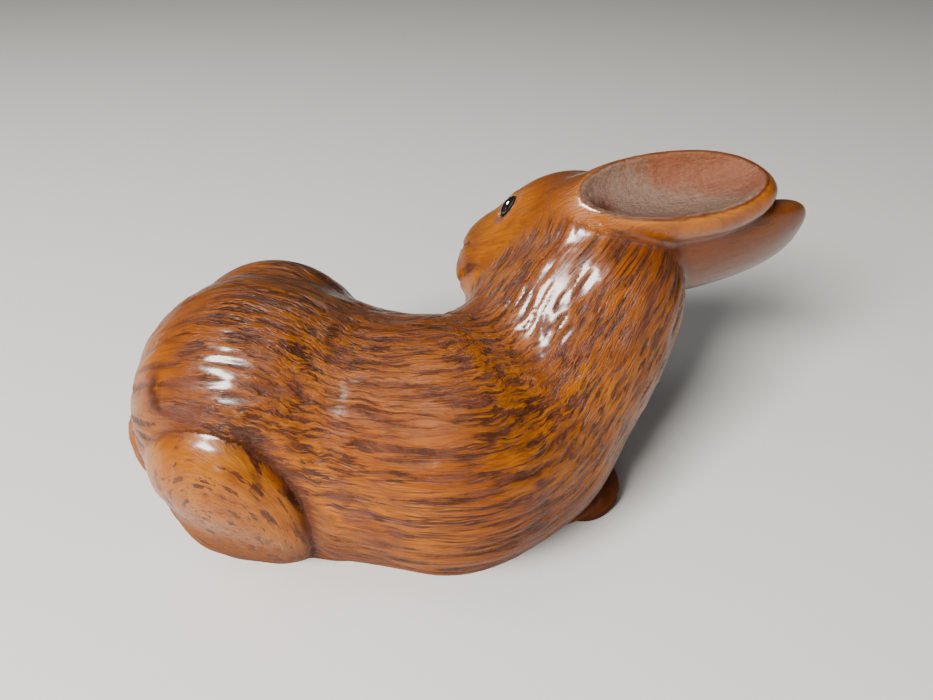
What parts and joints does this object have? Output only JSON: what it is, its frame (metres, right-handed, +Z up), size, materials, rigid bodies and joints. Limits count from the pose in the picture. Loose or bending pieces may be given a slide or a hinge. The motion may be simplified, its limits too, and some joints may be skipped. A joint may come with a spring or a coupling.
{
  "type": "hare figurine",
  "caption": "Small carved hare lying down, looking back over its left shoulder with its long ears laid back, fur cut in fine strokes and dark inlaid eyes.",
  "frame": {"origin": "middle of the bounding box of the carving, on the surface that it stands on", "axes": "+X from the rump towards the chest and the ear tips, +Y from the hare's right flank to its left, +Z up"},
  "size_m": [0.0762, 0.039, 0.0437],
  "materials": {
    "stained_wood": "fine-grained carved wood, stained orange-brown, waxed glossy, with darker stain in the cut fur",
    "dark_inlay": "polished near-black inlay, such as dark horn"
  },
  "bodies": {
    "root": {"hare": "stained_wood", "eye_left": "dark_inlay", "eye_right": "dark_inlay"}
  },
  "joints": []
}
